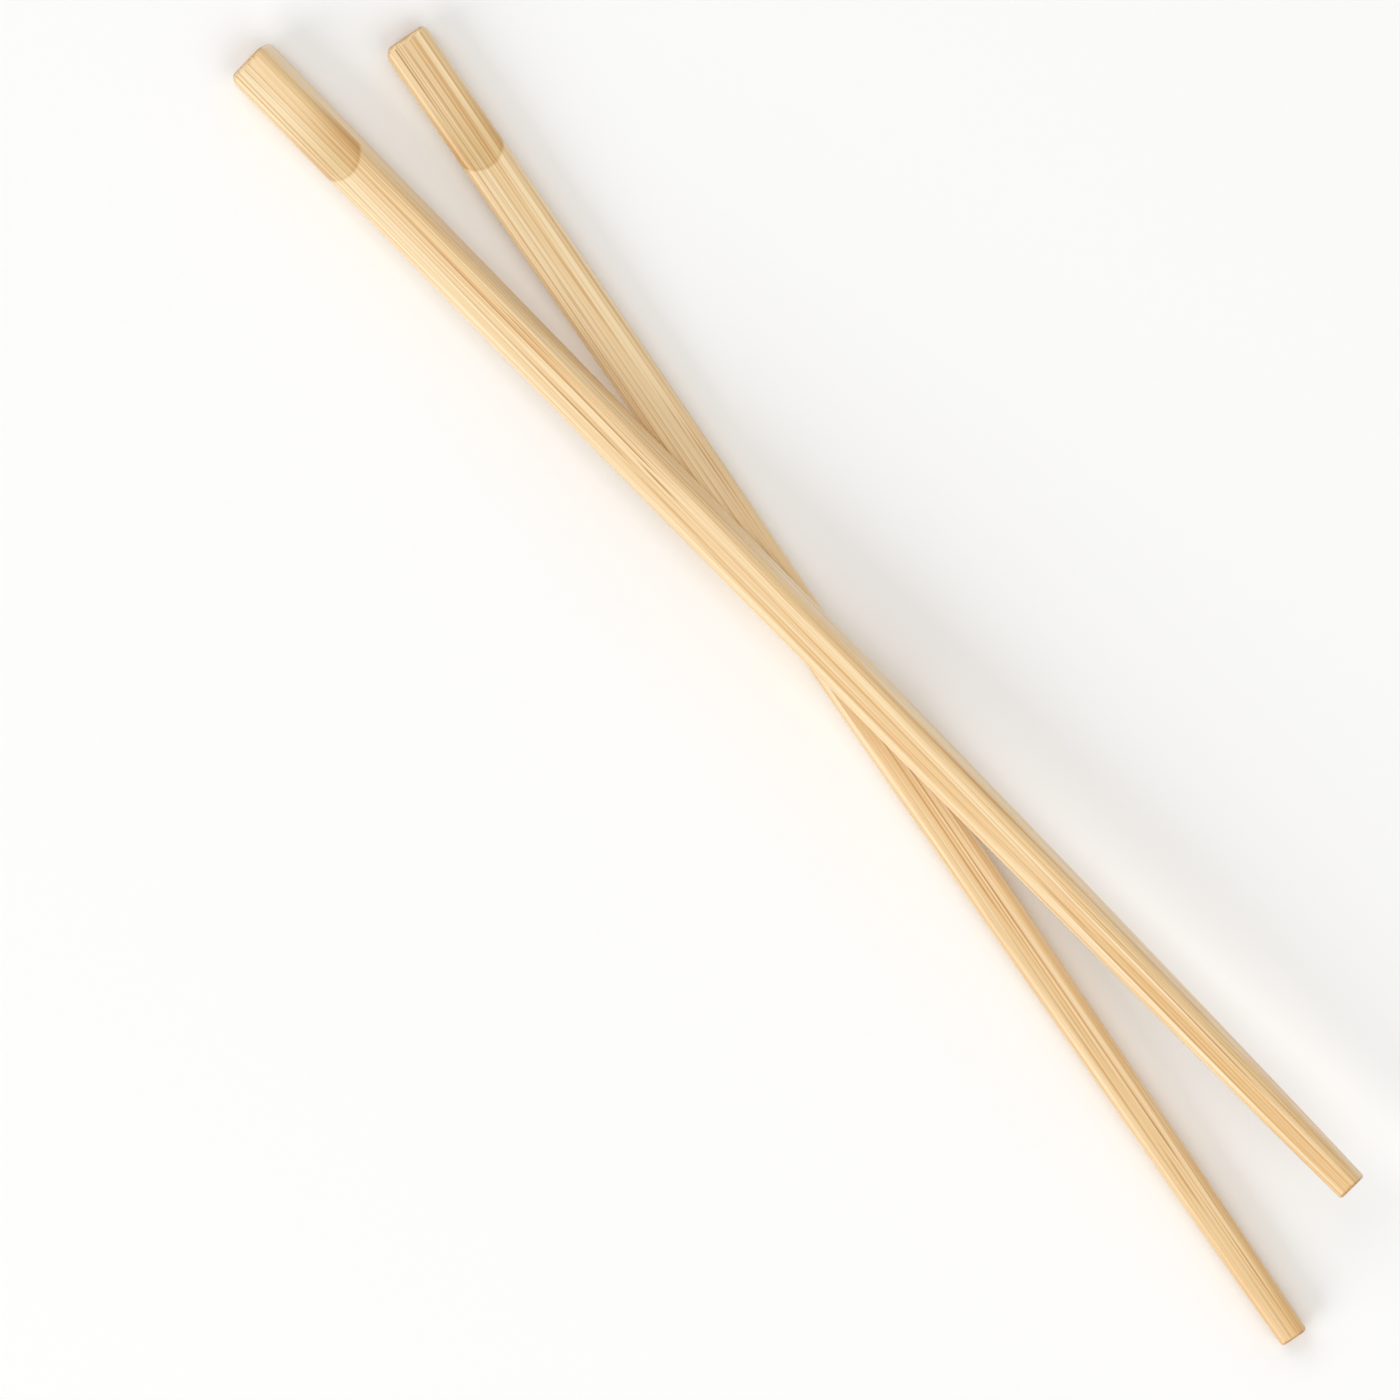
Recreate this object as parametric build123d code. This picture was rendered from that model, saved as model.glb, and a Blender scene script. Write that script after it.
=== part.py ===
from build123d import *
import math
import os

# A loose pair of bamboo eating sticks. One lies flat and the other has come to rest across it.
# Each stick is one milled strip of bamboo: rounded-square at the head and slimmer at the tip.
# All sizes are in millimetres. A stick's own frame runs from its head at X 0 to its tip,
# with Y across it and its underside on Z 0.

# The stick
stick_length = 210.0
head_width = 6.7
tip_width = 4.0
thickness = 5.3
tip_thickness = 4.1
flat_length = 128.0  # both faces stay flat and parallel this far from the head
edge_radius = 1.3  # the four long edges
head_end_radius = 0.8  # the edge round the sawn head
tip_end_radius = 0.5

# The patch of the stem's own skin that the mill left on top at the head
skin_length = 20.8
skin_front_margin = 0.45  # its rounded front is this much fuller than half the stick's width
skin_step = 0.1  # it stands this far proud of the milled face
skin_wrap = 0.85  # it reaches this share of the way down the rounded long edges

# How the pair lies
under_crossing = 97.2  # from the lower stick's head to where the two cross
over_crossing = 108.2  # from the upper stick's head to the same place
crossing_angle = 9.93  # seen from above
seat_gap = 0.05


def half_width(x):
    """Half the width at x: an even taper that quickens towards the tip."""
    share = x / stick_length
    taper = (share + share**4) / 2
    return (head_width - (head_width - tip_width) * taper) / 2


def plan_outline():
    """The stick seen from above."""
    stations = [0.2 * step * stick_length for step in range(6)]
    left = [(x, half_width(x)) for x in stations]
    right = [(x, -half_width(x)) for x in reversed(stations)]
    tip_end = Line(left[-1], right[0])
    head_end = Line(right[-1], left[0])
    return make_face([Spline(left), tip_end, Spline(right), head_end])


def side_outline(top):
    """The stick seen from the side: flat faces that bend gently together towards the tip."""
    thinning = (thickness - tip_thickness) / 2
    foot = Line((0, 0), (flat_length, 0))
    foot_bend = TangentArc(foot @ 1, (stick_length, thinning), tangent=(1, 0))
    face = Line((flat_length, top), (0, top))
    face_bend = TangentArc(face @ 0, (stick_length, top - thinning), tangent=(1, 0))
    tip_end = Line(foot_bend @ 1, face_bend @ 1)
    head_end = Line(face @ 1, foot @ 0)
    return make_face([foot, foot_bend, tip_end, face_bend, face, head_end])


def rounded_bar(top):
    """A bar of the stick's outlines with its long edges and both ends rounded."""
    seen_from_above = extrude(plan_outline(), top)
    seen_from_side = extrude(Plane.XZ * side_outline(top), head_width, both=True)
    bar = seen_from_above & seen_from_side
    long_edges = [edge for edge in bar.edges() if edge.length > head_width]
    bar = fillet(long_edges, edge_radius)
    bar = fillet(bar.faces().sort_by(Axis.X)[0].edges(), head_end_radius)
    return fillet(bar.faces().sort_by(Axis.X)[-1].edges(), tip_end_radius)


def skin_region():
    """The space over the head that the skin patch fills, with its rounded front."""
    front_radius = head_width / 2 + skin_front_margin
    straight = skin_length - front_radius
    block = Box(straight, 2 * front_radius, thickness, align=(Align.MIN, Align.CENTER, Align.MIN))
    front = Cylinder(front_radius, thickness, align=(Align.CENTER, Align.CENTER, Align.MIN))
    return Pos(0, 0, thickness - skin_wrap * edge_radius) * (block + Pos(straight, 0, 0) * front)


def stick():
    """One whole stick, with its skin patch in one piece with it."""
    skin = rounded_bar(thickness + skin_step) & skin_region()
    return rounded_bar(thickness) + skin


def lower_top_edge():
    """The centre line of the lower stick's rounded top edge, where the upper stick leans on it."""
    inset = half_width(under_crossing) - edge_radius
    station = under_crossing - inset / math.tan(math.radians(crossing_angle))
    height = thickness - edge_radius
    near = Vector(station, edge_radius - half_width(station), height)
    far = Vector(under_crossing, edge_radius - half_width(under_crossing), height)
    return Axis(near, far - near)


def leaning_plane(lean):
    """The upper stick's underside when it leans on the lower one's top edge by this angle."""
    edge = lower_top_edge()
    up = Vector(0, 0, 1).rotate(edge, lean)
    level = Vector(1, 0, 0).rotate(Axis.Z, crossing_angle)
    along = (level - Vector(0, 0, level.dot(up) / up.Z)).normalized()
    mid_plane = Plane(edge.position + up * (edge_radius + seat_gap + thickness / 2), z_dir=up)
    crossing = mid_plane.intersect(Axis((under_crossing, 0, 0), (0, 0, 1)))
    return Plane(crossing - along * over_crossing - up * (thickness / 2), x_dir=along, z_dir=up)


def settled_plane(piece):
    """Where the upper stick stops leaning, with the corner of its head just off the ground."""
    low, high = 0.0, 40.0
    while high - low > 1e-5:
        lean = (low + high) / 2
        if (leaning_plane(lean) * piece).bounding_box().min.Z > seat_gap:
            low = lean
        else:
            high = lean
    return leaning_plane(low)


def laid_pair():
    """Both sticks, with +X midway between them and the origin under the middle of the pair."""
    lower = stick()
    upper = settled_plane(lower) * lower
    midway = Rot(0, 0, -crossing_angle / 2)
    pair = {"under_chopstick": midway * lower, "over_chopstick": midway * upper}
    box = Compound(list(pair.values())).bounding_box()
    centring = Pos(-box.center().X, -box.center().Y, 0)
    return {name: centring * piece for name, piece in pair.items()}


os.makedirs("parts", exist_ok=True)
for name, piece in laid_pair().items():
    export_step(piece, f"parts/{name}.step")
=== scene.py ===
import math

import bpy
from mathutils import Matrix, Vector


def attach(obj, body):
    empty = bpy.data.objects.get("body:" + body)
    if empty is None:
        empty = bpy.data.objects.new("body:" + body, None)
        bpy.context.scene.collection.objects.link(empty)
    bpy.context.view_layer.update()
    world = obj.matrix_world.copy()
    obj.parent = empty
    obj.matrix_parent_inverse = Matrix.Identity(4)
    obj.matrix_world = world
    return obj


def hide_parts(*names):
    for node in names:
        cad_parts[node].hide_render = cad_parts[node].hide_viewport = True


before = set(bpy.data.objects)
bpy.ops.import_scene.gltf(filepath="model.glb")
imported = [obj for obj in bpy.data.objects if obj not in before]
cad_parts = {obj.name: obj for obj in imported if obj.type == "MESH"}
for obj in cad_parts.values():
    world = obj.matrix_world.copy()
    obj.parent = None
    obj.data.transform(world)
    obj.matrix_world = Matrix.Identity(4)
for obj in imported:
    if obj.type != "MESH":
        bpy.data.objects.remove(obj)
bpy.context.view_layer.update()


# The sticks. Each is one strip split from the wall of a bamboo stem, milled to a rounded square
# that slims towards the tip, sawn to length and tumbled in a drum, which softens its edges.
# One tree of nodes shapes both, because the same cutters make both.

mm = 0.001
stick_sizes = {
    "Length": 210.0 * mm,
    "Head Width": 6.7 * mm,
    "Tip Width": 4.0 * mm,
    "Thickness": 5.3 * mm,
    "Tip Thickness": 4.1 * mm,
    "Flat Length": 128.0 * mm,
    "Edge Radius": 1.3 * mm,
    "Head Rounding": 0.8 * mm,
    "Worn Corner": 1.4 * mm,
    "Worn Length": 4.0 * mm,
    "Tip Rounding": 0.5 * mm,
    "Skin Length": 20.8 * mm,
    "Skin Front Radius": 3.8 * mm,
    "Skin Step": 0.09 * mm,
    "Fibre Relief": 0.03 * mm,
}
points_round = 128  # in each row, close enough together to carry the fibre relief
rows_along = 580
row_crowding = 0.95  # 0 spaces the rows evenly, 1 packs them hard against both ends
skin_fade = 0.7 * mm  # the skin rises to its full step over this length
bundle_spacing = 0.72  # mm between fibre bundles under the skin
inner_closeness = 0.7  # how close the bundles stand at the underside, as a share of that
waver_length = 45.0  # mm of stem over which a bundle wavers once
waver_width = 4.0  # mm within which neighbouring bundles waver together
waver_reach = (0.0, 0.35, 1.5)  # mm along, across and into the strip


def add(tree, kind, *values, named=None, **settings):
    """A node with these settings, whose inputs are set to values or linked to other nodes."""
    made = tree.nodes.new(kind)
    for key, value in settings.items():
        setattr(made, key, value)
    for key, value in [*enumerate(values), *(named or {}).items()]:
        if isinstance(value, bpy.types.Node):
            value = value.outputs[0]
        if isinstance(value, bpy.types.NodeSocket):
            tree.links.new(value, made.inputs[key])
        elif value is not None:
            made.inputs[key].default_value = value
    return made


def fibre_bundles(tree, place):
    """How far each place in the wood is from the middle of its fibre bundle, as a share of the
    bundles' spacing, and a random share for that bundle. Place is in mm."""
    # the bundles stand wider apart away from the skin, which is at the top of the strip
    depth = add(tree, "ShaderNodeSeparateXYZ", place).outputs["Z"]
    thickness = stick_sizes["Thickness"] / mm
    closeness = add(tree, "ShaderNodeMapRange", depth, 0.0, thickness, inner_closeness, 1.0)
    across = add(tree, "ShaderNodeVectorMath", place, operation="SCALE", named={"Scale": closeness})
    # they waver a little on their way, more into the wood than across it
    slowness = (1 / waver_length, 1 / waver_width, 1 / waver_width)
    slow = add(tree, "ShaderNodeVectorMath", place, slowness, operation="MULTIPLY")
    waver = add(tree, "ShaderNodeTexNoise", slow, named={"Scale": 1.0, "Detail": 1.0})
    waver = add(
        tree, "ShaderNodeVectorMath", waver.outputs["Color"], waver_reach, operation="MULTIPLY"
    )
    across = add(tree, "ShaderNodeVectorMath", across, waver, operation="ADD")
    across = add(
        tree,
        "ShaderNodeVectorMath",
        across,
        operation="SCALE",
        named={"Scale": 1 / bundle_spacing},
    )
    across = add(tree, "ShaderNodeSeparateXYZ", across)
    section = add(tree, "ShaderNodeCombineXYZ", across.outputs["Y"], across.outputs["Z"])
    bundles = add(
        tree,
        "ShaderNodeTexVoronoi",
        section,
        named={"Scale": 1.0, "Randomness": 0.85},
        voronoi_dimensions="2D",
    )
    chance = add(tree, "ShaderNodeSeparateXYZ", bundles.outputs["Color"]).outputs["X"]
    return bundles.outputs["Distance"], chance


def milling_tree():
    """Geometry nodes that mill one stick: head at X 0, tip along X, underside on Z 0."""
    tree = bpy.data.node_groups.new("milled stick", "GeometryNodeTree")
    for name, value in stick_sizes.items():
        socket = tree.interface.new_socket(name, in_out="INPUT", socket_type="NodeSocketFloat")
        socket.default_value = value
    tree.interface.new_socket("Grain Seed", in_out="INPUT", socket_type="NodeSocketFloat")
    tree.interface.new_socket("Material", in_out="INPUT", socket_type="NodeSocketMaterial")
    tree.interface.new_socket("Geometry", in_out="OUTPUT", socket_type="NodeSocketGeometry")
    size = {socket.name: socket for socket in add(tree, "NodeGroupInput").outputs}

    # The section at the head: a square with rounded corners, swept along the stick.
    square = add(
        tree, "GeometryNodeCurvePrimitiveQuadrilateral", size["Head Width"], size["Thickness"]
    )
    rounded = add(
        tree,
        "GeometryNodeFilletCurve",
        square,
        named={"Radius": size["Edge Radius"], "Count": 24, "Limit Radius": True},
        mode="POLY",
    )
    section = add(tree, "GeometryNodeResampleCurve", rounded, named={"Count": points_round})
    section = add(
        tree,
        "GeometryNodeStoreNamedAttribute",
        section,
        named={"Name": "section", "Value": add(tree, "GeometryNodeInputPosition")},
        data_type="FLOAT_VECTOR",
    )
    line = add(tree, "GeometryNodeCurvePrimitiveLine", named={"End": (1.0, 0.0, 0.0)})
    line = add(tree, "GeometryNodeResampleCurve", line, named={"Count": rows_along})
    line = add(
        tree,
        "GeometryNodeStoreNamedAttribute",
        line,
        named={"Name": "along", "Value": add(tree, "GeometryNodeSplineParameter")},
        data_type="FLOAT",
    )
    bar = add(tree, "GeometryNodeCurveToMesh", line, section, named={"Fill Caps": True})

    # The rows crowd towards both ends, where the edges are rounded.
    along = add(tree, "GeometryNodeInputNamedAttribute", "along", data_type="FLOAT")
    lap = add(tree, "ShaderNodeMath", along, 2 * math.pi, operation="MULTIPLY")
    wave = add(tree, "ShaderNodeMath", lap, operation="SINE")
    crowded = add(
        tree,
        "ShaderNodeMath",
        wave,
        -row_crowding / (2 * math.pi),
        along,
        operation="MULTIPLY_ADD",
    )
    x = add(tree, "ShaderNodeMath", crowded, size["Length"], operation="MULTIPLY")

    # Each corner's centre stays a corner radius inside the faces, and moves in as they taper.
    half = add(tree, "ShaderNodeCombineXYZ", size["Head Width"], size["Thickness"], 0.0)
    half = add(tree, "ShaderNodeVectorMath", half, (0.5, 0.5, 0.5), operation="MULTIPLY")
    corner = add(tree, "ShaderNodeCombineXYZ", size["Edge Radius"], size["Edge Radius"], 0.0)
    core_size = add(tree, "ShaderNodeVectorMath", half, corner, operation="SUBTRACT")
    other_side = add(tree, "ShaderNodeVectorMath", core_size, (-1.0,) * 3, operation="MULTIPLY")
    place = add(tree, "GeometryNodeInputNamedAttribute", "section", data_type="FLOAT_VECTOR")
    core = add(tree, "ShaderNodeVectorMath", place, core_size, operation="MINIMUM")
    core = add(tree, "ShaderNodeVectorMath", core, other_side, operation="MAXIMUM")
    rim = add(tree, "ShaderNodeVectorMath", place, core, operation="SUBTRACT")

    # The width tapers evenly and then faster; the two faces bend together past the flat length.
    share = add(tree, "ShaderNodeMath", x, size["Length"], operation="DIVIDE")
    quick_share = add(tree, "ShaderNodeMath", share, 4.0, operation="POWER")
    taper = add(tree, "ShaderNodeMath", share, quick_share, operation="ADD")
    bend = add(tree, "ShaderNodeMapRange", x, size["Flat Length"], size["Length"])
    bend = add(tree, "ShaderNodeMath", bend, 2.0, operation="POWER")
    tip_half = add(tree, "ShaderNodeCombineXYZ", size["Tip Width"], size["Tip Thickness"], 0.0)
    tip_half = add(tree, "ShaderNodeVectorMath", tip_half, (0.5, 0.5, 0.5), operation="MULTIPLY")
    tip_core = add(tree, "ShaderNodeVectorMath", tip_half, corner, operation="SUBTRACT")
    slimmed = add(tree, "ShaderNodeVectorMath", tip_core, core_size, operation="DIVIDE")
    slimmed = add(tree, "ShaderNodeSeparateXYZ", slimmed)
    narrowed = add(tree, "ShaderNodeMapRange", taper, 0.0, 2.0, 1.0, slimmed.outputs["X"])
    thinned = add(tree, "ShaderNodeMapRange", bend, 0.0, 1.0, 1.0, slimmed.outputs["Y"])
    slimming = add(tree, "ShaderNodeCombineXYZ", narrowed, thinned, 0.0)
    slim_core = add(tree, "ShaderNodeVectorMath", core, slimming, operation="MULTIPLY")

    # Both ends are rounded, so the rim draws in there along a quarter circle.
    to_tip = add(tree, "ShaderNodeMath", size["Length"], x, operation="SUBTRACT")
    reach = size["Edge Radius"]
    for from_end, rounding in ((x, size["Head Rounding"]), (to_tip, size["Tip Rounding"])):
        before = add(tree, "ShaderNodeMapRange", from_end, 0.0, rounding, 1.0, 0.0)
        squared = add(tree, "ShaderNodeMath", before, 2.0, operation="POWER")
        rise = add(tree, "ShaderNodeMath", 1.0, squared, operation="SUBTRACT")
        rise = add(tree, "ShaderNodeMath", rise, operation="SQRT")
        lost = add(tree, "ShaderNodeMapRange", rise, 0.0, 1.0, rounding, 0.0)
        reach = add(tree, "ShaderNodeMath", reach, lost, operation="SUBTRACT")
    reach = add(tree, "ShaderNodeMath", reach, size["Edge Radius"], operation="DIVIDE")

    # The fibres bend with the thinned faces but are cut where the sides taper.
    rim_now = add(tree, "ShaderNodeVectorMath", rim, operation="SCALE", named={"Scale": reach})
    full = add(tree, "ShaderNodeVectorMath", core, rim_now, operation="ADD")
    full = add(tree, "ShaderNodeSeparateXYZ", full)
    slim = add(tree, "ShaderNodeVectorMath", slim_core, rim_now, operation="ADD")
    slim = add(tree, "ShaderNodeSeparateXYZ", slim)
    depth = add(
        tree,
        "ShaderNodeMath",
        size["Thickness"],
        0.5,
        full.outputs["Y"],
        operation="MULTIPLY_ADD",
    )
    in_stem = add(tree, "ShaderNodeCombineXYZ", x, slim.outputs["X"], depth)
    in_stem = add(tree, "ShaderNodeVectorMath", in_stem, (1 / mm,) * 3, operation="MULTIPLY")
    seed = add(tree, "ShaderNodeCombineXYZ", size["Grain Seed"], size["Grain Seed"], 0.0)
    in_stem = add(tree, "ShaderNodeVectorMath", in_stem, seed, operation="ADD")

    # Tumbling wears the soft wood between the fibre bundles and leaves them a little proud.
    from_bundle, _ = fibre_bundles(tree, in_stem)
    worn = add(tree, "ShaderNodeMapRange", from_bundle, 0.15, 0.5, 0.0, size["Fibre Relief"])
    worn = add(tree, "ShaderNodeMath", worn, size["Edge Radius"], operation="DIVIDE")
    reach = add(tree, "ShaderNodeMath", reach, worn, operation="SUBTRACT")
    rim = add(tree, "ShaderNodeVectorMath", rim, operation="SCALE", named={"Scale": reach})
    shaped = add(tree, "ShaderNodeVectorMath", slim_core, rim, operation="ADD")
    shaped = add(tree, "ShaderNodeSeparateXYZ", shaped)
    y = shaped.outputs["X"]
    z = add(
        tree,
        "ShaderNodeMath",
        size["Thickness"],
        0.5,
        shaped.outputs["Y"],
        operation="MULTIPLY_ADD",
    )

    # Tumbling has rounded one corner of the head more than the other. The quarter circle stops
    # just short of upright, so the rows that it sets back stay apart.
    side = add(tree, "ShaderNodeMath", size["Head Width"], -0.5, operation="MULTIPLY")
    start = add(tree, "ShaderNodeMath", side, size["Worn Corner"], operation="ADD")
    over = add(tree, "ShaderNodeMapRange", y, start, side, 0.0, 0.97)
    over = add(tree, "ShaderNodeMath", over, 2.0, operation="POWER")
    left = add(tree, "ShaderNodeMath", 1.0, over, operation="SUBTRACT")
    left = add(tree, "ShaderNodeMath", left, operation="SQRT")
    set_back = add(tree, "ShaderNodeMapRange", left, 0.0, 1.0, size["Worn Corner"], 0.0)
    fading = add(
        tree,
        "ShaderNodeMapRange",
        x,
        size["Worn Length"],
        0.0,
        interpolation_type="SMOOTHSTEP",
    )
    x = add(tree, "ShaderNodeMath", set_back, fading, x, operation="MULTIPLY_ADD")

    # The stem's skin stays on over the head and stops at a rounded front.
    straight = add(
        tree,
        "ShaderNodeMath",
        size["Skin Length"],
        size["Skin Front Radius"],
        operation="SUBTRACT",
    )
    ahead = add(tree, "ShaderNodeMath", x, straight, operation="SUBTRACT")
    ahead = add(tree, "ShaderNodeMath", ahead, 0.0, operation="MAXIMUM")
    ahead = add(tree, "ShaderNodeCombineXYZ", ahead, y, 0.0)
    ahead = add(tree, "ShaderNodeVectorMath", ahead, operation="LENGTH").outputs["Value"]
    full_step = add(
        tree, "ShaderNodeMath", size["Skin Front Radius"], skin_fade, operation="SUBTRACT"
    )
    kept = add(
        tree,
        "ShaderNodeMapRange",
        ahead,
        size["Skin Front Radius"],
        full_step,
        interpolation_type="SMOOTHSTEP",
    )
    hem = add(
        tree, "ShaderNodeMath", size["Thickness"], size["Edge Radius"], operation="SUBTRACT"
    )
    wrapped = add(
        tree,
        "ShaderNodeMapRange",
        z,
        hem,
        size["Thickness"],
        0.0,
        size["Skin Step"],
        interpolation_type="SMOOTHSTEP",
    )
    z = add(tree, "ShaderNodeMath", kept, wrapped, z, operation="MULTIPLY_ADD")

    # The material reads each place in the milled strip and in the stem that it came from, in mm.
    point = add(tree, "ShaderNodeCombineXYZ", x, y, z)
    bar = add(tree, "GeometryNodeSetPosition", bar, named={"Position": point})
    in_strip = add(tree, "ShaderNodeVectorMath", point, (1 / mm,) * 3, operation="MULTIPLY")
    for name, kept_place in (("strip", in_strip), ("stem", in_stem)):
        bar = add(
            tree,
            "GeometryNodeStoreNamedAttribute",
            bar,
            named={"Name": name, "Value": kept_place},
            data_type="FLOAT_VECTOR",
        )
    for used in ("section", "along"):
        bar = add(tree, "GeometryNodeRemoveAttribute", bar, named={"Name": used})
    bar = add(tree, "GeometryNodeSetShadeSmooth", bar)
    bar = add(tree, "GeometryNodeRealizeInstances", bar)
    bar = add(tree, "GeometryNodeSetMaterial", bar, named={"Material": size["Material"]})
    add(tree, "NodeGroupOutput", bar)
    return tree


def colour(code):
    """A colour written as sRGB hex, as the linear values that a material takes."""
    channels = [int(code[i : i + 2], 16) / 255 for i in (1, 3, 5)]
    linear = [c / 12.92 if c <= 0.04045 else ((c + 0.055) / 1.055) ** 2.4 for c in channels]
    return (*linear, 1.0)


def milled_bamboo():
    """Bamboo, milled along the grain and tumbled with a little wax, with no varnish: pale straw
    soft wood, darker fibre bundles and thin open vessels the whole way, and a satin sheen."""
    material = bpy.data.materials.new("bamboo, milled and tumbled")
    material.use_nodes = True
    tree = material.node_tree
    tree.nodes.clear()
    strip = add(tree, "ShaderNodeAttribute", attribute_name="strip").outputs["Vector"]
    stem = add(tree, "ShaderNodeAttribute", attribute_name="stem").outputs["Vector"]
    x, y, z = add(tree, "ShaderNodeSeparateXYZ", strip).outputs
    length = stick_sizes["Length"] / mm

    # where the marks of the skin, and the sawn grain and painted shade at the ends, start and stop,
    # in mm
    skin_wraps = (3.7, 4.6)  # up from the underside
    skin_is_level = (4.5, 5.1)  # up from the underside
    skin_deepens = (7.0, 19.5)  # from the head
    skin_turns_brown = (1.6, 3.1)  # to each side of the middle
    head_darkens = (0.35, 0.05)  # from the head
    tip_darkens = (length - 0.4, length - 0.05)

    # patterns drawn out along the grain: their length and width in mm, detail and roughness
    drawn_out = {
        "broad bands": (150.0, 1.7, 1.5, 0.5),
        "thin fibres": (60.0, 0.26, 2.0, 0.6),
        "vessel gaps": (30.0, 0.8, 2.0, 0.5),
    }
    pattern = {}
    for name, (long, wide, detail, roughness) in drawn_out.items():
        shrink = (1 / long, 1 / wide, 1 / wide)
        shrunk = add(tree, "ShaderNodeVectorMath", stem, shrink, operation="MULTIPLY")
        pattern[name] = add(
            tree,
            "ShaderNodeTexNoise",
            shrunk,
            named={"Scale": 1.0, "Detail": detail, "Roughness": roughness},
        )

    # the soft wood, in broad bands of slightly different tone, warmer towards the tip
    band = add(tree, "ShaderNodeMapRange", pattern["broad bands"], 0.35, 0.65)
    wood = add(
        tree,
        "ShaderNodeMix",
        named={"Factor": band, "A": colour("#F3D9AB"), "B": colour("#EBCA95")},
        data_type="RGBA",
    )
    to_tip = add(tree, "ShaderNodeMapRange", x, 20.0, length)
    wood = add(
        tree,
        "ShaderNodeMix",
        named={"Factor": to_tip, "A": wood.outputs["Result"], "B": colour("#F8EDDA")},
        data_type="RGBA",
        blend_type="MULTIPLY",
    )

    # the patch of skin, which ends in a rounded front and wraps over the long edges, and whose
    # tone deepens towards that front
    front_radius = stick_sizes["Skin Front Radius"] / mm
    straight = stick_sizes["Skin Length"] / mm - front_radius
    ahead = add(tree, "ShaderNodeMath", x, straight, operation="SUBTRACT")
    ahead = add(tree, "ShaderNodeMath", ahead, 0.0, operation="MAXIMUM")
    ahead = add(tree, "ShaderNodeCombineXYZ", ahead, y, 0.0)
    ahead = add(tree, "ShaderNodeVectorMath", ahead, operation="LENGTH").outputs["Value"]
    kept = add(
        tree,
        "ShaderNodeMapRange",
        ahead,
        front_radius + 0.15,
        front_radius - 0.35,
        interpolation_type="SMOOTHSTEP",
    )
    wrapped = add(tree, "ShaderNodeMapRange", z, *skin_wraps, interpolation_type="SMOOTHSTEP")
    on_skin = add(tree, "ShaderNodeMath", kept, wrapped, operation="MULTIPLY")
    near_front = add(
        tree,
        "ShaderNodeMapRange",
        x,
        *skin_deepens,
        0.12,
        1.0,
        interpolation_type="SMOOTHSTEP",
    )
    tone = add(tree, "ShaderNodeMath", on_skin, near_front, operation="MULTIPLY")

    # fibre bundles, a little browner than the wood between them, and plainest under the skin
    from_bundle, chance = fibre_bundles(tree, stem)
    bundle = add(
        tree, "ShaderNodeMapRange", from_bundle, 0.36, 0.1, interpolation_type="SMOOTHSTEP"
    )
    strength = add(tree, "ShaderNodeMapRange", chance, 0.0, 1.0, 0.1, 0.55)
    strength = add(tree, "ShaderNodeMath", tone, 0.25, strength, operation="MULTIPLY_ADD")
    browner = add(tree, "ShaderNodeMath", bundle, strength, operation="MULTIPLY")
    wood = add(
        tree,
        "ShaderNodeMix",
        named={"Factor": browner, "A": wood.outputs["Result"], "B": colour("#DCA75F")},
        data_type="RGBA",
    )

    # single fibres are too fine to show, so they are drawn in threads a quarter of a mm across,
    # some browner than the soft wood and some paler
    fine = pattern["thin fibres"]
    streak = add(
        tree, "ShaderNodeMapRange", fine, 0.52, 0.66, 0.0, 0.72, interpolation_type="SMOOTHSTEP"
    )
    wood = add(
        tree,
        "ShaderNodeMix",
        named={"Factor": streak, "A": wood.outputs["Result"], "B": colour("#CE9750")},
        data_type="RGBA",
    )
    pale = add(
        tree, "ShaderNodeMapRange", fine, 0.47, 0.3, 0.0, 0.65, interpolation_type="SMOOTHSTEP"
    )
    wood = add(
        tree,
        "ShaderNodeMix",
        named={"Factor": pale, "A": wood.outputs["Result"], "B": colour("#FBE9C8")},
        data_type="RGBA",
    )

    # the open vessel in the middle of a bundle: a thin dark line that comes and goes
    vessel = add(
        tree, "ShaderNodeMapRange", from_bundle, 0.22, 0.08, interpolation_type="SMOOTHSTEP"
    )
    gaps = add(tree, "ShaderNodeMapRange", pattern["vessel gaps"], 0.4, 0.6, 0.15, 0.8)
    vessel = add(tree, "ShaderNodeMath", vessel, gaps, operation="MULTIPLY")
    wood = add(
        tree,
        "ShaderNodeMix",
        named={"Factor": vessel, "A": wood.outputs["Result"], "B": colour("#AE7A3A")},
        data_type="RGBA",
    )

    # the skin is duller in its middle and browner where it wraps over the edges
    to_side = add(tree, "ShaderNodeMath", y, operation="ABSOLUTE")
    to_side = add(
        tree,
        "ShaderNodeMapRange",
        to_side,
        *skin_turns_brown,
        interpolation_type="SMOOTHSTEP",
    )
    skin = add(
        tree,
        "ShaderNodeMix",
        named={"Factor": to_side, "A": colour("#ECE5D2"), "B": colour("#E3CDA0")},
        data_type="RGBA",
    )
    wood = add(
        tree,
        "ShaderNodeMix",
        named={"Factor": tone, "A": wood.outputs["Result"], "B": skin.outputs["Result"]},
        data_type="RGBA",
        blend_type="MULTIPLY",
    )
    # a thin band along its front, on the top face only, is a little browner
    hem = add(tree, "ShaderNodeMath", ahead, front_radius - 0.2, operation="SUBTRACT")
    hem = add(tree, "ShaderNodeMath", hem, operation="ABSOLUTE")
    hem = add(tree, "ShaderNodeMapRange", hem, 0.4, 0.0, 0.0, 0.3, interpolation_type="SMOOTHSTEP")
    on_top = add(tree, "ShaderNodeMapRange", z, *skin_is_level)
    hem = add(tree, "ShaderNodeMath", hem, on_top, operation="MULTIPLY")
    wood = add(
        tree,
        "ShaderNodeMix",
        named={"Factor": hem, "A": wood.outputs["Result"], "B": colour("#E6D0A8")},
        data_type="RGBA",
        blend_type="MULTIPLY",
    )
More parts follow.
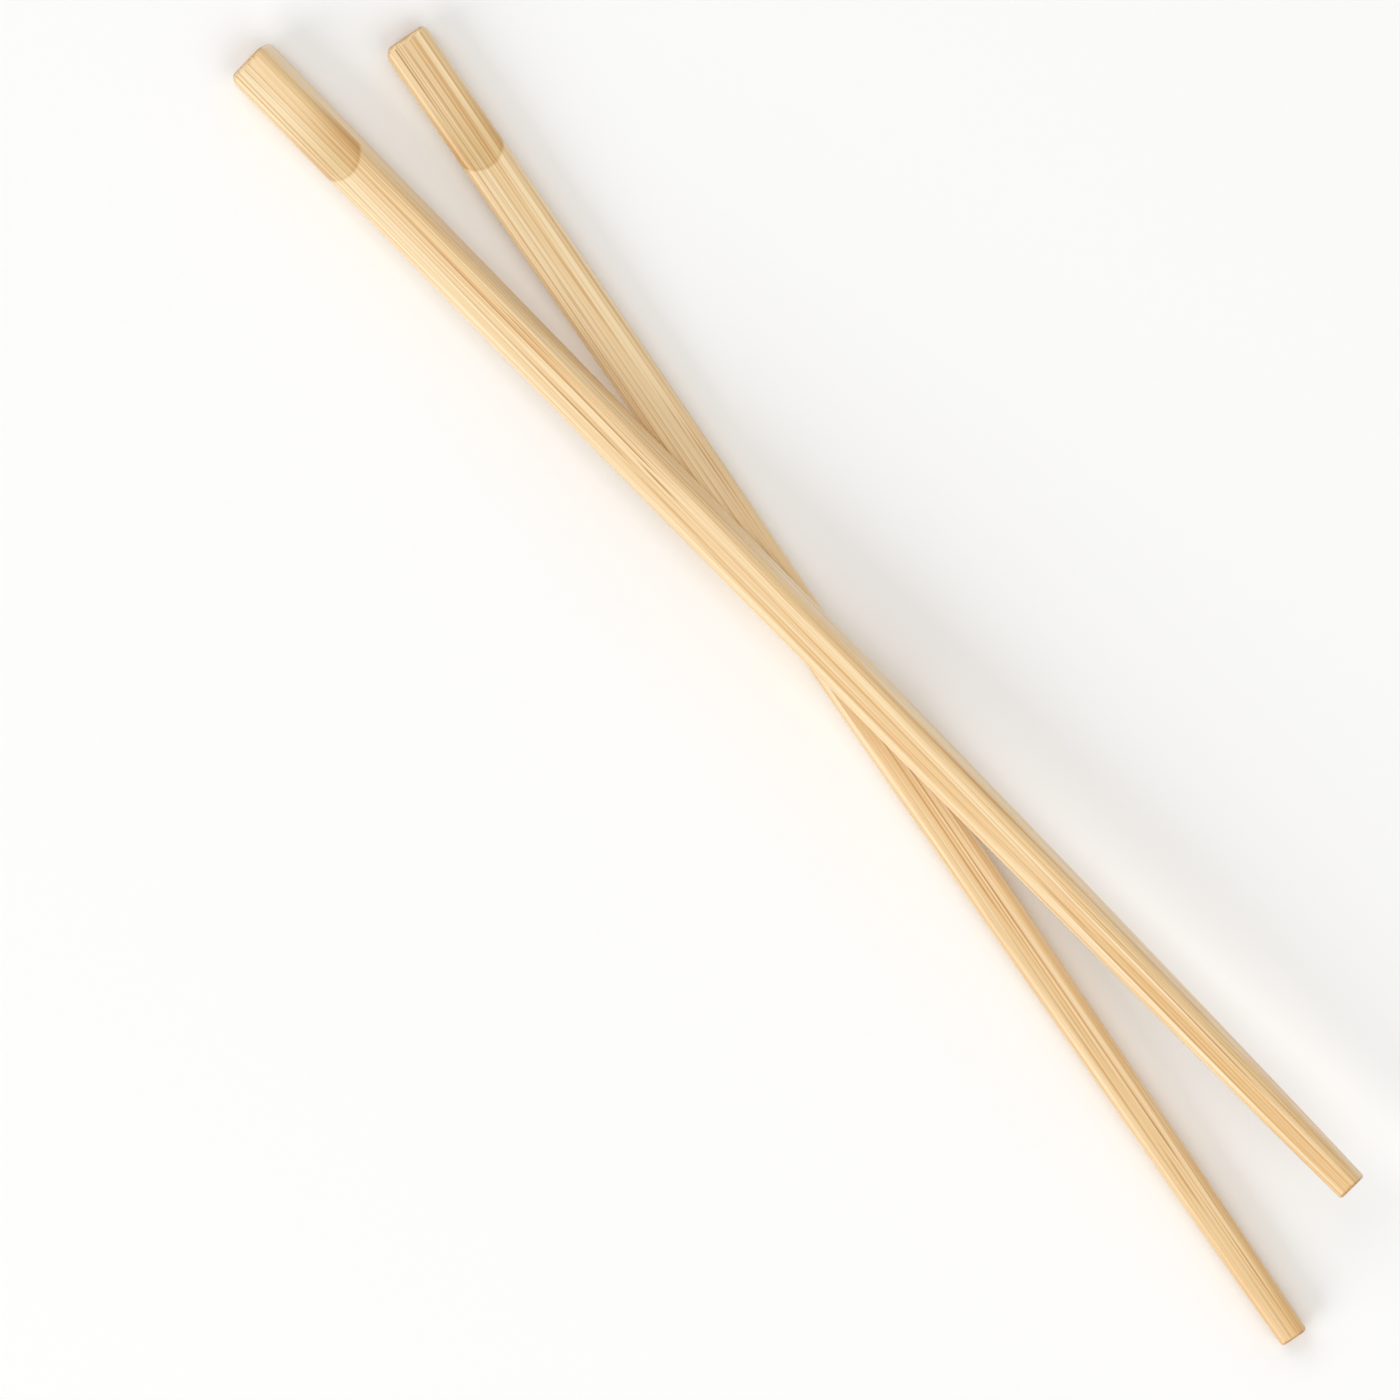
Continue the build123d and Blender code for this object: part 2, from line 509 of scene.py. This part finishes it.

    # the ends are darker: open grain left by the saw, and painted shade where they round off
    head_end = add(tree, "ShaderNodeMapRange", x, *head_darkens)
    tip_end = add(tree, "ShaderNodeMapRange", x, *tip_darkens)
    end_grain_and_shade = add(tree, "ShaderNodeMath", head_end, tip_end, operation="MAXIMUM")
    wood = add(
        tree,
        "ShaderNodeMix",
        named={"Factor": end_grain_and_shade, "A": wood.outputs["Result"], "B": colour("#DDB987")},
        data_type="RGBA",
        blend_type="MULTIPLY",
    )

    # the skin is a little glossier than the milled wood, the sawn ends are dull, and a thin film
    # of wax from the drum gives the satin sheen
    gloss = add(tree, "ShaderNodeMapRange", on_skin, 0.0, 1.0, 0.38, 0.33)
    gloss = add(tree, "ShaderNodeMapRange", end_grain_and_shade, 0.0, 1.0, gloss, 0.7)
    lift = add(tree, "ShaderNodeMath", fine, vessel, operation="SUBTRACT")
    bump = add(
        tree,
        "ShaderNodeBump",
        named={"Strength": 0.3, "Distance": 0.02 * mm, "Height": lift},
    )
    shader = add(
        tree,
        "ShaderNodeBsdfPrincipled",
        named={
            "Base Color": wood.outputs["Result"],
            "Roughness": gloss,
            "IOR": 1.53,
            "Normal": bump,
            "Coat Weight": 0.8,
            "Coat Roughness": 0.3,
            "Coat IOR": 1.45,
        },
    )
    add(tree, "ShaderNodeOutputMaterial", shader)
    return material


def lie_of(node):
    """Where a stick lies: X along it from its sawn head, Z up from its flat underside."""
    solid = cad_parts[node].data
    faces = sorted(solid.polygons, key=lambda face: face.area, reverse=True)
    up = faces[0].normal.copy()
    if up.z < 0:
        up.negate()
    head_end = next(face for face in faces if face.normal.x < -0.9)
    along = -head_end.normal
    turned = Matrix((along, up.cross(along).normalized(), up))
    points = [turned @ vertex.co for vertex in solid.vertices]
    lowest = Vector([min(point[axis] for point in points) for axis in range(3)])
    highest = Vector([max(point[axis] for point in points) for axis in range(3)])
    origin = Vector((lowest.x, (lowest.y + highest.y) / 2, lowest.z))
    unturned = turned.transposed()
    return Matrix.Translation(unturned @ origin) @ unturned.to_4x4()


sticks = {
    "lower_stick": {"stands for": "under_chopstick", "Grain Seed": 300.0},
    "upper_stick": {"stands for": "over_chopstick", "Grain Seed": 1100.0},
}
milling = milling_tree()
bamboo = milled_bamboo()
socket_of = {
    item.name: item.identifier for item in milling.interface.items_tree if item.in_out == "INPUT"
}
for name, stick in sticks.items():
    blank = bpy.data.objects.new(f"{name}_blank", bpy.data.meshes.new(f"{name}_blank"))
    bpy.context.scene.collection.objects.link(blank)
    mill = blank.modifiers.new("mill", "NODES")
    mill.node_group = milling
    mill[socket_of["Grain Seed"]] = stick["Grain Seed"]
    mill[socket_of["Material"]] = bamboo
    milled = blank.evaluated_get(bpy.context.evaluated_depsgraph_get())
    mesh = bpy.data.meshes.new_from_object(milled)
    bpy.data.objects.remove(blank)
    mesh.transform(lie_of(stick["stands for"]))
    piece = bpy.data.objects.new(name, mesh)
    bpy.context.scene.collection.objects.link(piece)
    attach(piece, "root")
    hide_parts(stick["stands for"])


# The ground that the pair lies on: a wide sheet of matt white paper, laid flat. Matt paper has no
# gloss of its own, so it shows only the sticks' soft shadows.

floor_half = 8.0  # from its middle to each side
floor_mesh = bpy.data.meshes.new("floor")
floor_corners = [(x, y, 0.0) for x, y in ((-1, -1), (1, -1), (1, 1), (-1, 1))]
floor_corners = [Vector(corner) * floor_half for corner in floor_corners]
floor_mesh.from_pydata(floor_corners, [], [(0, 1, 2, 3)])
floor = bpy.data.objects.new("floor", floor_mesh)
bpy.context.scene.collection.objects.link(floor)
paper = bpy.data.materials.new("paper, matt white")
paper.use_nodes = True
paper_shader = paper.node_tree.nodes["Principled BSDF"]
paper_shader.inputs["Base Color"].default_value = colour("#FBFBFA")
paper_shader.inputs["Roughness"].default_value = 0.9
paper_shader.inputs["Specular IOR Level"].default_value = 0.1
floor_mesh.materials.append(paper)


# The light: a softbox beyond each end, a tall one low on the near side that draws the sheen on
# the rounded edges, and a weak one opposite. Pale walls fill the rest evenly.

# azimuth and elevation in degrees, size in metres, power in watts
lamps = {
    "head softbox": {"azimuth": 183, "elevation": 55, "size": (1.6, 1.6), "power": 12.0},
    "tip softbox": {"azimuth": 3, "elevation": 55, "size": (1.6, 1.6), "power": 12.0},
    "near softbox": {"azimuth": 275, "elevation": 29, "size": (1.7, 1.7), "power": 29.0},
    "far softbox": {"azimuth": 95, "elevation": 40, "size": (2.4, 1.6), "power": 3.5},
}
lamp_distance = 2.5  # metres from the sticks
for name, lamp in lamps.items():
    light = bpy.data.lights.new(name, "AREA")
    light.shape = "RECTANGLE"
    light.size, light.size_y = lamp["size"]
    light.energy = lamp["power"]
    softbox = bpy.data.objects.new(name, light)
    azimuth = math.radians(lamp["azimuth"])
    elevation = math.radians(lamp["elevation"])
    level = Vector((math.cos(azimuth), math.sin(azimuth), 0.0)) * math.cos(elevation)
    toward = level + Vector((0.0, 0.0, math.sin(elevation)))
    softbox.location = toward * lamp_distance
    softbox.rotation_euler = toward.to_track_quat("Z", "Y").to_euler()
    softbox.visible_camera = False
    bpy.context.scene.collection.objects.link(softbox)

walls_light = 0.5
walls_seen = 0.95  # the same walls as the camera sees them past the paper
room = bpy.data.worlds.new("pale room")
room.use_nodes = True
room_tree = room.node_tree
room_tree.nodes.clear()
rays = add(room_tree, "ShaderNodeLightPath")
fill = add(
    room_tree,
    "ShaderNodeMapRange",
    rays.outputs["Is Camera Ray"],
    0.0,
    1.0,
    walls_light,
    walls_seen,
)
background = add(room_tree, "ShaderNodeBackground", (1.0, 1.0, 1.0, 1.0), fill)
add(room_tree, "ShaderNodeOutputWorld", background)
bpy.context.scene.world = room


# The camera looks straight down through a long lens, turned so that the heads of the sticks are
# at the top left.

lens = 400.0
sensor = 36.0
view_width = 186.4 * mm
view_middle = (-5.9 * mm, -16.4 * mm)
view_turn = 50.6  # degrees
stick_top = stick_sizes["Thickness"]  # the view is that wide at this height
lens_data = bpy.data.cameras.new("camera")
lens_data.lens = lens
lens_data.sensor_width = sensor
lens_data.clip_end = 20.0
camera = bpy.data.objects.new("camera", lens_data)
camera.location = (*view_middle, stick_top + view_width * lens / sensor)
camera.rotation_euler = (0.0, 0.0, math.radians(view_turn))
bpy.context.scene.collection.objects.link(camera)
bpy.context.scene.camera = camera
bpy.context.scene.view_settings.view_transform = "Standard"
